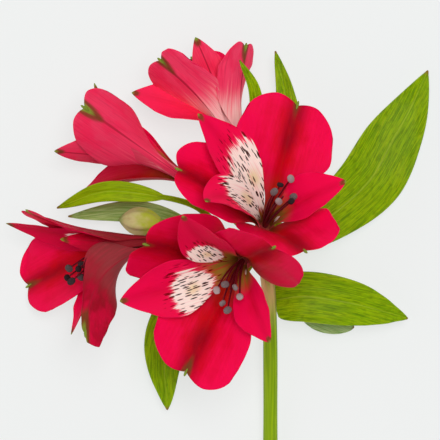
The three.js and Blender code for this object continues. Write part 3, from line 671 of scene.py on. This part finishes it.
def leaf_part(leaf):
    if "start" in leaf:
        foot = vec(*leaf["start"])
    else:
        foot = UMBEL + unit(vec(*leaf["foot"])) * (KNOB_RADIUS - LEAF_FOOT_SINK)
    points = np.vstack([foot, leaf["line"]])
    s = np.linspace(0, 1, LEAF_ROWS + 1)
    step = 1e-3
    forward = unit(along(points, s + step) - along(points, s - step))
    across = unit(np.cross(forward, UP))
    up = np.cross(across, forward)
    x = np.clip((s - leaf["begins"]) / (1 - leaf["begins"]), 0, 1)
    blunt = leaf["full"] + (leaf["point"] - leaf["full"]) * x
    swell = np.maximum(0, np.sin(math.pi * x ** leaf["peak"])) ** blunt
    half = leaf["stalk"] * np.sqrt(1 - s) + (leaf["width"] - 0.5 * leaf["stalk"]) * swell
    half = np.maximum(LEAF_TIP, half)[:, None]
    q = np.linspace(-1, 1, LEAF_COLUMNS + 1) * np.ones((LEAF_ROWS + 1, 1))
    s = s[:, None] * np.ones(LEAF_COLUMNS + 1)
    side, rise = bent_across(half, through(leaf["cup"], s), q)
    wave = wave_at(leaf["wave"] * leaf["width"], leaf["waves"], s, q)
    edge = EDGE_RUFFLE * leaf["width"] * np.abs(q) ** 4
    edge = edge * np.sin(2 * math.pi * EDGE_RUFFLES * s + 2.3 * np.sign(q))
    veins = VEIN_HEIGHT * np.cos(math.pi * VEINS * q) * ease(3 * half / leaf["width"])
    keel = -KEEL_DEPTH * np.exp(-((q * half / KEEL_WIDTH) ** 2)) * ease(4 * (1 - s))
    height = rise + wave + edge + veins + keel
    middle = along(points, s) + across[:, None] * side[..., None] + up[:, None] * height[..., None]
    thickness = blade_thickness(np.abs(q) ** 8)
    length = np.linalg.norm(np.diff(points, axis=0), axis=1).sum()
    marks = {
        "grain": np.stack([q * half, np.zeros_like(q), s * length], axis=2),
        "along": s,
        "across": q,
        "tone": np.full_like(q, leaf["tone"]),
        "yellow": np.full_like(q, leaf["yellow"]),
    }
    return thin_solid(middle[:, ::-1], thickness, {k: v[:, ::-1] for k, v in marks.items()})


# ---- Stem, pedicels, ovaries and bud ----
STEM_RINGS = 90
CUT_BEVEL = 0.0008  # how soon behind the cut the stem has its full width, as a share of its length
CUT_ROUNDING = 0.86  # its radius at the cut, as a share of the full one
STEM_UNEVENNESS = 0.02
STEM_RISE = 1.4  # how late it rises from the surface
PEDICEL_STEER = (0.3, 0.4)  # how far its curve is steered at either end, as a share of its length
PEDICEL_RINGS = 30
KNOB_RINGS = 17
KNOB_END = 0.98  # where its ball is cut flat, as a share of its radius
STEM_BLUSH = (0.8, 0.12)  # where along it the tan stretch under the umbel starts, and how soon
BLUSH = {"knob": 0.5, "pedicel": 0.45, "ovary": 0.15, "bud": 0.1}  # how tan the others are


def stem_radius(share):
    return STEM_RADIUS - STEM_TAPER * share


def stem_points(share):
    y = CUT_END_Y * (1 - share)
    rise = np.maximum(0, (y - CUT_END_Y - REST_LENGTH) / (-CUT_END_Y - REST_LENGTH))
    rest = stem_radius(share) * math.cos(math.pi / STEM_SIDES)
    x = STEM_OFFSET * (1 - np.exp(y / STEM_CURVE))
    return np.stack([x, y, rest + (UMBEL_HEIGHT - rest) * rise**STEM_RISE], axis=-1)


def main_stem():
    share = np.concatenate([[0, CUT_BEVEL], np.linspace(0, 1, STEM_RINGS + 1)[1:]])
    unevenness = STEM_UNEVENNESS * np.sin(23 * share) * np.sin(7 * share)
    radii = stem_radius(share) * (1 + unevenness)
    radii[0] *= CUT_ROUNDING
    points, faces, marks = tube(stem_points(share), radii, "stem")
    ring = TUBES["stem"][0]
    cut = 2 * ring
    points[:cut, 1] += CUT_SLANT * points[:cut, 2]
    points[-2] = points[:cut].mean(0)
    marks["blush"] = ease((marks["along"] - STEM_BLUSH[0]) / STEM_BLUSH[1])
    marks["cut"] = np.zeros(len(points))
    marks["cut"][:ring] = 1
    marks["cut"][-2] = 1
    return points, faces, marks


def cubic(a, b, c, d, t):
    t = t[:, None]
    return a * (1 - t) ** 3 + 3 * b * t * (1 - t) ** 2 + 3 * c * t * t * (1 - t) + d * t**3


def pedicel(foot, arrival, dip, blush):
    reach = np.linalg.norm(foot - UMBEL) * PEDICEL_STEER[1]
    leave = UMBEL + PEDICEL_STEER[0] * (foot - UMBEL) + vec(*dip)
    t = np.linspace(0, 1, PEDICEL_RINGS)
    centres = cubic(UMBEL, leave, foot - arrival * reach, foot, t)
    part = tube(centres, PEDICEL_RADIUS + PEDICEL_SWELL * t * t, "pedicel")
    set_evenly(part, blush=blush)
    return part


# Shapes of an ovary and of the bud, as (place along it, radius) in shares, and the bud's mean
# radius as a share of the solid one's.
OVARY_SHAPE = [(-1, 0.6), (-0.9, 0.72), (-0.75, 0.9), (-0.55, 0.99), (-0.4, 1), (-0.22, 0.97),
               (-0.1, 0.92), (-0.04, 0.88), (0, 0.8)]
BUD_BETWEEN_RIBS = 0.94
BUD_SHAPE = [(0, 0.3), (0.05, 0.45), (0.12, 0.62), (0.22, 0.8), (0.35, 0.95), (0.45, 0.99),
             (0.55, 1), (0.65, 0.94), (0.75, 0.82), (0.84, 0.62), (0.9, 0.45), (0.95, 0.3),
             (1, 0.12)]


def add_green_parts(stem_skin, bud_skin):
    """The stem with its knob, the pedicels and ovaries of the blooms, and the bud."""
    def add_to_stem(name, part):
        add_piece(name, *part, stem_skin, "stem", "stem")

    add_to_stem("main_stem", main_stem())
    heights = np.linspace(-KNOB_END, KNOB_END, KNOB_RINGS)
    centres = [UMBEL + UP * h * KNOB_RADIUS for h in heights]
    knob = tube(centres, KNOB_RADIUS * np.sqrt(1 - heights**2), "knob")
    set_evenly(knob, blush=BLUSH["knob"])
    add_to_stem("umbel_knob", knob)
    for name, bloom in BLOOMS.items():
        w = axes_of(bloom)[2]
        base = vec(*bloom["base"])
        stalk = pedicel(base - w * OVARY_LENGTH, w, bloom["dip"], BLUSH["pedicel"])
        add_to_stem(f"pedicel_{name}", stalk)
        centres = [base + w * (h * OVARY_LENGTH - JOINT_GAP) for h, _ in OVARY_SHAPE]
        radii = [r * OVARY_RADIUS * (1 - RIB_DEPTH / 2) for _, r in OVARY_SHAPE]
        ovary = tube(centres, radii, "ovary")
        set_evenly(ovary, blush=BLUSH["ovary"])
        add_to_stem(f"ovary_{name}", ovary)
    foot, tip = vec(*YOUNG_BUD["foot"]), vec(*YOUNG_BUD["tip"])
    toward = unit(tip - foot)
    stalk = pedicel(foot + toward * JOINT_GAP, toward, YOUNG_BUD["dip"], BLUSH["bud"])
    add_to_stem("pedicel_bud", stalk)
    length = np.linalg.norm(tip - foot)
    centres = [foot + toward * h * length for h, _ in BUD_SHAPE]
    radii = [r * BUD_RADIUS * BUD_BETWEEN_RIBS for _, r in BUD_SHAPE]
    bud = tube(centres, radii, "bud")
    add_piece("closed_bud", *bud, bud_skin, "bud", "young_bud")


# ---- Materials ----
SUBSURFACE_RADIUS = (0.003, 0.001, 0.001)  # how far red, green and blue light spreads in a petal


def srgb(code):
    """The linear colour of a web colour code."""
    parts = [int(code[i:i + 2], 16) / 255 for i in (0, 2, 4)]
    linear = [c / 12.92 if c <= 0.04045 else ((c + 0.055) / 1.055) ** 2.4 for c in parts]
    return (*linear, 1.0)


def fill(node, values):
    """Sets inputs of a node by name."""
    for name, value in values.items():
        node.inputs[name].default_value = value


class Paint:
    """A material whose colours are worked out from a piece's marks and from noise."""

    def __init__(self, name):
        self.material = bpy.data.materials.new(name)
        self.material.use_nodes = True
        self.nodes = self.material.node_tree.nodes
        self.links = self.material.node_tree.links
        self.shader = self.nodes["Principled BSDF"]

    def put(self, socket, value):
        if isinstance(value, bpy.types.NodeSocket):
            self.links.new(value, socket)
        else:
            socket.default_value = srgb(value) if isinstance(value, str) else value

    def mark(self, name, output="Fac"):
        node = self.nodes.new("ShaderNodeAttribute")
        node.attribute_name = name
        return node.outputs[output]

    def grain(self, across, lengthwise):
        """The place along and across the piece, scaled, for noise that runs along it."""
        scale = self.nodes.new("ShaderNodeMapping")
        scale.vector_type = "POINT"
        fill(scale, {"Scale": (across, across, lengthwise)})
        self.links.new(self.mark("grain", "Vector"), scale.inputs["Vector"])
        return scale.outputs["Vector"]

    def math(self, operation, *values):
        node = self.nodes.new("ShaderNodeMath")
        node.operation = operation
        for socket, value in zip(node.inputs, values):
            self.put(socket, value)
        return node.outputs[0]

    def add(self, *values):
        total = values[0]
        for value in values[1:]:
            total = self.math("ADD", total, value)
        return total

    def times(self, *values):
        total = values[0]
        for value in values[1:]:
            total = self.math("MULTIPLY", total, value)
        return total

    def step(self, value, low, high):
        """0 below low, 1 above high and smooth between, or the other way where low > high."""
        node = self.nodes.new("ShaderNodeMapRange")
        node.interpolation_type = "SMOOTHSTEP"
        self.put(node.inputs["Value"], value)
        fill(node, {"From Min": low, "From Max": high})
        return node.outputs["Result"]

    def noise(self, vector, detail=2.0):
        node = self.nodes.new("ShaderNodeTexNoise")
        fill(node, {"Scale": 1.0, "Detail": detail})
        self.links.new(vector, node.inputs["Vector"])
        return node.outputs["Fac"]

    def cells(self, vector):
        """Scattered points: how far the nearest is, and a chance value of its own."""
        node = self.nodes.new("ShaderNodeTexVoronoi")
        fill(node, {"Scale": 1.0, "Randomness": 1.0})
        self.links.new(vector, node.inputs["Vector"])
        split = self.nodes.new("ShaderNodeSeparateColor")
        self.links.new(node.outputs["Color"], split.inputs["Color"])
        return node.outputs["Distance"], split.outputs[0]

    def mix(self, share, first, second):
        """A mix of two colours. Sockets share their names, so each is found by number."""
        node = self.nodes.new("ShaderNodeMix")
        node.data_type = "RGBA"
        for number, value in ((0, share), (6, first), (7, second)):
            self.put(node.inputs[number], value)
        return node.outputs[2]

    def over(self, colour, paint, *shares):
        """Paint over a colour, as thick as the product of the shares."""
        return self.mix(self.times(*shares), colour, paint)

    def finish(self, colour, roughness, bump=None, bump_height=0.1, subsurface=0.0, specular=0.3):
        self.put(self.shader.inputs["Base Color"], colour)
        self.put(self.shader.inputs["Roughness"], roughness)
        if bump is not None:
            node = self.nodes.new("ShaderNodeBump")
            fill(node, {"Strength": 1.0, "Distance": bump_height * MILLIMETRE})
            self.links.new(bump, node.inputs["Height"])
            self.links.new(node.outputs["Normal"], self.shader.inputs["Normal"])
        fill(self.shader, {
            "Subsurface Weight": subsurface, "Subsurface Radius": SUBSURFACE_RADIUS,
            "Subsurface Scale": 1.0, "Specular IOR Level": specular,
        })
        return self.material


# Web codes of the colours, and pairs between which noise runs.
CRIMSON = "cc0014"
ROSE = "f4064a"
DEEP_RED = "80000e"
OUTSIDE_DEEP = "b80a30"
OUTSIDE_ROSE = "fa4068"
OUTSIDE_PALE = "ffbebc"
OUTSIDE_DARK = "a81c34"
OUTSIDE_BROWN = "7c1018"
OUTSIDE_SHEEN = "984a4c"
TIP_GREEN = "7c8f34"
TIP_BROWN = "66401e"
CREAM = "ffe8de"
CREAM_YELLOW = "eed6aa"
PATCH_PINK = "ee5a76"
THROAT_GREEN = "907026"
THROAT_DARK = "7c4616"
DASH = "42140e"
STEM_GREENS = ("6e9206", "98b812")
STEM_DULL = "7f9c24"
STEM_TAN = "dcb47e"
PITH = ("b4c47a", "dce0b4")
LEAF_GREEN = "548600"
LEAF_BRIGHT = "8cb400"
LEAF_YELLOWISH = "a2bc08"
LEAF_DEEP = "467000"
LEAF_BLOTCH = "406800"
LEAF_YELLOW = "98a800"
LEAF_MIDRIB = "a9bf3a"
LEAF_UNDERSIDE = ("80a058", "b2c890")
LEAF_TIP_BROWN = "8a6a2c"
BUD_GREEN = "acb838"
BUD_CREAM = "ccc488"
BUD_TAN = "b49a64"
BUD_TIP = "9ab064"
FILAMENT_REDS = ("8c2020", "5c0618")
FILAMENT_STREAK = "7a0c22"
ANTHER_DARK = "2c1e22"
ANTHER_PALE = "b09c9c"
BACKDROP = srgb("eff1f0")
FLOOR_GREYS = ("7c7d7d", "808181")


def petal_material():
    p = Paint("petal_skin")
    read = ("side", "tip", "patch", "pale", "outer", "deep")
    side, tip, patch, pale, outermost, deep = map(p.mark, read)
    innermost = p.math("SUBTRACT", 1.0, outermost)
    s, q = p.mark("along"), p.math("ABSOLUTE", p.mark("across"))
    fine = p.noise(p.grain(2.6, 0.07), 3)
    veins = p.noise(p.grain(1.0, 0.05), 2)
    mottle = p.noise(p.grain(0.16, 0.1), 2)
    # inside: crimson, rose towards the edges, painted shade in deep red in the fold and towards the
    # throat
    edge = p.add(p.times(q, 0.55), p.times(s, 0.45), p.times(veins, 0.25), p.times(mottle, 0.7))
    edge = p.add(edge, p.times(innermost, 0.3), -0.9)
    front = p.mix(p.step(edge, -0.25, 0.4), CRIMSON, ROSE)
    # painted shade: depth is how far the fold and the lower part of a tepal, mostly an outer one,
    # are darkened to deep red
    fold_shade = p.times(p.step(q, 0.34, 0.03), p.step(s, 0.4, 0.66), 0.75)
    depth = p.add(p.times(p.step(s, 0.6, 0.05), 0.8), fold_shade)
    depth = p.times(depth, p.add(p.times(outermost, 0.8), 0.2))
    front = p.over(front, DEEP_RED, depth, p.step(mottle, 0.15, 0.6))
    # painted shade: each tepal's red darkened by its deep mark, and painted light turning it pink
    # where that mark is below 0
    front = p.over(front, DEEP_RED, deep, 0.6)
    front = p.over(front, OUTSIDE_ROSE, deep, -1.0)
    throat = p.times(p.step(s, 0.44, 0.2), p.add(p.times(innermost, 0.85), 0.15))
    front = p.over(front, THROAT_GREEN, throat, p.step(veins, 0.2, 0.55))
    # cream patch with a frayed border, yellow in its middle, and the throat
    frayed = p.add(patch, p.times(p.add(veins, -0.5), 0.75), p.times(p.add(fine, -0.5), 0.5))
    cream = p.mix(p.step(p.add(patch, p.times(mottle, 0.6)), 0.85, 1.35), CREAM, CREAM_YELLOW)
    cream = p.over(cream, PATCH_PINK, p.step(fine, 0.45, 0.8), 0.5)
    front = p.over(front, PATCH_PINK, p.step(frayed, -0.12, 0.0), 0.55)
    front = p.mix(p.step(frayed, -0.02, 0.1), front, cream)
    front = p.over(front, THROAT_DARK, p.step(s, 0.2, 0.06), 0.9)
    distance, chance = p.cells(p.grain(1.35, 0.24))
    dash = p.times(p.step(distance, 0.42, 0.3), p.step(chance, 0.1, 0.14))
    dash = p.times(dash, p.step(p.add(patch, p.times(mottle, 0.5)), -0.25, 0.0))
    front = p.mix(dash, front, p.mix(p.step(frayed, 0, 0.12), DEEP_RED, DASH))
    # outside: paler, streaked from the base, with painted sheen and painted shade where deep is
    # set, dark along the midrib
    lines = p.times(p.add(veins, -0.5), p.add(p.times(p.step(s, 0.5, 0.1), 1.3), 0.8))
    streaks = p.add(p.times(pale, p.step(s, 0.72, 0.1), 1.15), lines)
    back = p.mix(p.step(pale, -0.2, 0.3), OUTSIDE_DEEP, OUTSIDE_ROSE)
    back = p.mix(p.step(streaks, 0.1, 1.1), back, OUTSIDE_PALE)
    back = p.over(back, OUTSIDE_BROWN, p.step(streaks, 0.0, -0.5), 0.85)
    # painted sheen in pinkish brown nearer the base, painted shade in brown further out, fading
    # before the tip
    sheen_and_shade = p.mix(p.step(p.add(s, p.times(mottle, 0.3)), 0.5, 0.78), OUTSIDE_SHEEN, OUTSIDE_BROWN)
    back = p.over(back, sheen_and_shade, deep, p.step(s, 0.95, 0.5), 0.75)
    back = p.over(back, ROSE, p.step(mottle, 0.42, 0.62), p.step(s, 0.3, 0.8), 0.45)
    back = p.over(back, OUTSIDE_DARK, p.step(fine, 0.45, 0.8), 0.3)
    back = p.over(back, OUTSIDE_DARK, p.step(q, 0.05, 0.015), 0.8)
    colour = p.mix(side, back, front)
    # the green and brown mark at the notch or the tip, on both sides
    blurred = p.add(tip, p.times(p.add(veins, -0.5), 0.4), p.times(side, -0.14))
    colour = p.over(colour, TIP_BROWN, p.step(blurred, 0.1, 0.42), 0.85)
    colour = p.mix(p.step(blurred, 0.55, 0.85), colour, TIP_GREEN)
    relief = p.add(p.times(fine, 0.6), veins)
    return p.finish(colour, 0.55, bump=relief, bump_height=0.1, subsurface=0.1, specular=0.04)


def filament_material():
    p = Paint("filament_skin")
    streak = p.noise(p.grain(2.0, 0.3), 2)
    base = p.mix(p.step(p.mark("along"), 0, 0.25), *FILAMENT_REDS)
    colour = p.over(base, FILAMENT_STREAK, streak, 0.5)
    return p.finish(colour, 0.4, bump=streak, bump_height=0.05, subsurface=0.05, specular=0.15)


def anther_material():
    p = Paint("anther_pollen")
    grains = p.noise(p.grain(5.0, 5.0), 3)
    shade = p.add(p.mark("shade"), p.times(p.add(grains, -0.5), 0.6))
    colour = p.mix(p.step(shade, 0, 0.9), ANTHER_DARK, ANTHER_PALE)
    return p.finish(colour, 0.85, bump=grains, bump_height=0.25, specular=0.1)


def stem_material():
    p = Paint("stem_skin")
    streak = p.noise(p.grain(1.1, 0.03), 3)
    mottle = p.noise(p.grain(0.3, 0.05), 2)
    colour = p.mix(p.step(streak, 0.3, 0.7), *STEM_GREENS)
    colour = p.over(colour, STEM_DULL, p.step(mottle, 0.45, 0.8), 0.5)
    colour = p.over(colour, STEM_TAN, p.mark("blush"), p.step(mottle, 0.22, 0.5))
    pith = p.mix(p.noise(p.grain(1.6, 1.6)), *PITH)
    colour = p.mix(p.step(p.mark("cut"), 0.3, 0.8), colour, pith)
    return p.finish(colour, 0.45, bump=streak, bump_height=0.1, subsurface=0.06, specular=0.1)


def leaf_material():
    p = Paint("leaf_skin")
    tone, yellow = p.mark("tone"), p.mark("yellow")
    streak = p.noise(p.grain(2.4, 0.1), 3)
    broad = p.noise(p.grain(0.6, 0.06), 2)
    q = p.math("ABSOLUTE", p.mark("across"))
    glossy = p.mix(p.step(streak, 0.35, 0.62), LEAF_GREEN, LEAF_BRIGHT)
    glossy = p.over(glossy, LEAF_YELLOWISH, p.step(broad, 0.42, 0.7), 0.45)
    glossy = p.over(glossy, LEAF_DEEP, p.step(broad, 0.5, 0.25), 0.45)
    blotch = p.noise(p.grain(1.1, 0.26), 3)
    glossy = p.over(glossy, LEAF_BLOTCH, p.step(blotch, 0.5, 0.36), 0.45)
    glossy = p.over(glossy, LEAF_YELLOW, yellow, 0.5)
    glossy = p.over(glossy, LEAF_MIDRIB, p.step(q, 0.05, 0.0), 0.4)
    dull = p.mix(p.step(streak, 0.35, 0.65), *LEAF_UNDERSIDE)
    under = p.math("MAXIMUM", tone, p.math("SUBTRACT", 1.0, p.mark("side")))
    colour = p.mix(under, glossy, dull)
    colour = p.mix(p.step(p.mark("along"), 0.975, 1.0), colour, LEAF_TIP_BROWN)
    return p.finish(colour, 0.5, bump=streak, bump_height=0.1, subsurface=0.05, specular=0.08)


def bud_material():
    p = Paint("bud_skin")
    s = p.mark("along")
    streak = p.noise(p.grain(0.9, 0.08), 3)
    mottle = p.noise(p.grain(0.35, 0.3), 2)
    colour = p.mix(p.step(p.add(s, p.times(mottle, 0.5)), 0.5, 0.85), BUD_GREEN, BUD_CREAM)
    colour = p.over(colour, BUD_TAN, p.step(streak, 0.45, 0.75), 0.4)
    colour = p.mix(p.step(s, 0.76, 0.98), colour, BUD_TIP)
    return p.finish(colour, 0.6, bump=streak, bump_height=0.12, subsurface=0.06, specular=0.1)


FLOOR_GLOW = 0.77  # a lit surface, so that the shadows on it stay faint
FLOOR_GRAIN = 40.0


def floor_material():
    p = Paint("pale_surface")
    grain = p.nodes.new("ShaderNodeTexNoise")
    fill(grain, {"Scale": FLOOR_GRAIN})
    colour = p.mix(grain.outputs["Fac"], *FLOOR_GREYS)
    fill(p.shader, {"Emission Color": BACKDROP, "Emission Strength": FLOOR_GLOW})
    return p.finish(colour, 0.9, specular=0.0)


# ---- The whole stem of flowers ----
petals = petal_material()
filaments = filament_material()
anthers = anther_material()
for turn, (bloom_name, bloom) in enumerate(BLOOMS.items()):
    add_tepals(bloom_name, bloom, petals)
    add_stamens(bloom_name, bloom, 0.7 * turn, filaments, anthers)
leaf_skin = leaf_material()
for leaf_name, leaf in LEAVES.items():
    slot = "leaf_underside" if leaf["tone"] > 0.5 else "leaf"
    add_piece(f"leaf_blade_{leaf_name}", *leaf_part(leaf), leaf_skin, slot, f"leaf_{leaf_name}")
add_green_parts(stem_material(), bud_material())

# ---- Floor, light and camera ----
FLOOR_SIZE = 6.0
CAMERA_PLACE = (0.0003, 0.0568, 1.05)
VIEW_WIDTH = 0.176  # what the picture spans at the height of the blooms
FOCUS_DISTANCE = 1.0
SENSOR = 36.0
SKY_LOW = 0.95  # how bright the surroundings are near the surface
SKY_HIGH = 0.33  # and overhead
SKY_BAND = (0.25, 0.45)  # the heights between which they change, as a share of straight up
LIGHT_TARGET = (0, 0.05, 0.02)
LIGHTS = {  # each with its place in metres, size and power
    "key_light": ((0.12, 0.25, 1.3), 0.5, 9.5),
    "fill_light": ((-0.7, -0.2, 0.9), 0.8, 2.0),
}

bpy.ops.mesh.primitive_plane_add(size=FLOOR_SIZE)
floor = bpy.context.object
floor.name = "pale_floor"
floor.data.materials.append(floor_material())

for light_name, (place, size, power) in LIGHTS.items():
    light = bpy.data.lights.new(light_name, "AREA")
    light.shape = "SQUARE"
    light.size = size
    light.energy = power
    lamp = add_object(light_name, light)
    lamp.location = place
    aim = np.array(LIGHT_TARGET) - np.array(place)
    yaw = math.atan2(aim[1], aim[0]) - math.pi / 2
    pitch = math.atan2(math.hypot(aim[0], aim[1]), -aim[2])
    lamp.rotation_euler = (pitch, 0, yaw)

world = bpy.data.worlds.new("studio")
scene.world = world
world.use_nodes = True
sky_nodes = world.node_tree.nodes
sky_links = world.node_tree.links
sky = sky_nodes["Background"]
direction = sky_nodes.new("ShaderNodeTexCoord")
height = sky_nodes.new("ShaderNodeSeparateXYZ")
glow = sky_nodes.new("ShaderNodeMapRange")
glow.interpolation_type = "SMOOTHSTEP"
fill(glow, {"From Min": SKY_BAND[0], "From Max": SKY_BAND[1]})
fill(glow, {"To Min": SKY_LOW, "To Max": SKY_HIGH})
fill(sky, {"Color": BACKDROP})
sky_links.new(direction.outputs["Generated"], height.inputs["Vector"])
sky_links.new(height.outputs["Z"], glow.inputs["Value"])
sky_links.new(glow.outputs["Result"], sky.inputs["Strength"])

lens = bpy.data.cameras.new("camera")
lens.sensor_width = SENSOR
lens.lens = SENSOR * FOCUS_DISTANCE / VIEW_WIDTH
camera = add_object("camera", lens)
camera.location = CAMERA_PLACE
scene.camera = camera
scene.view_settings.view_transform = "Standard"
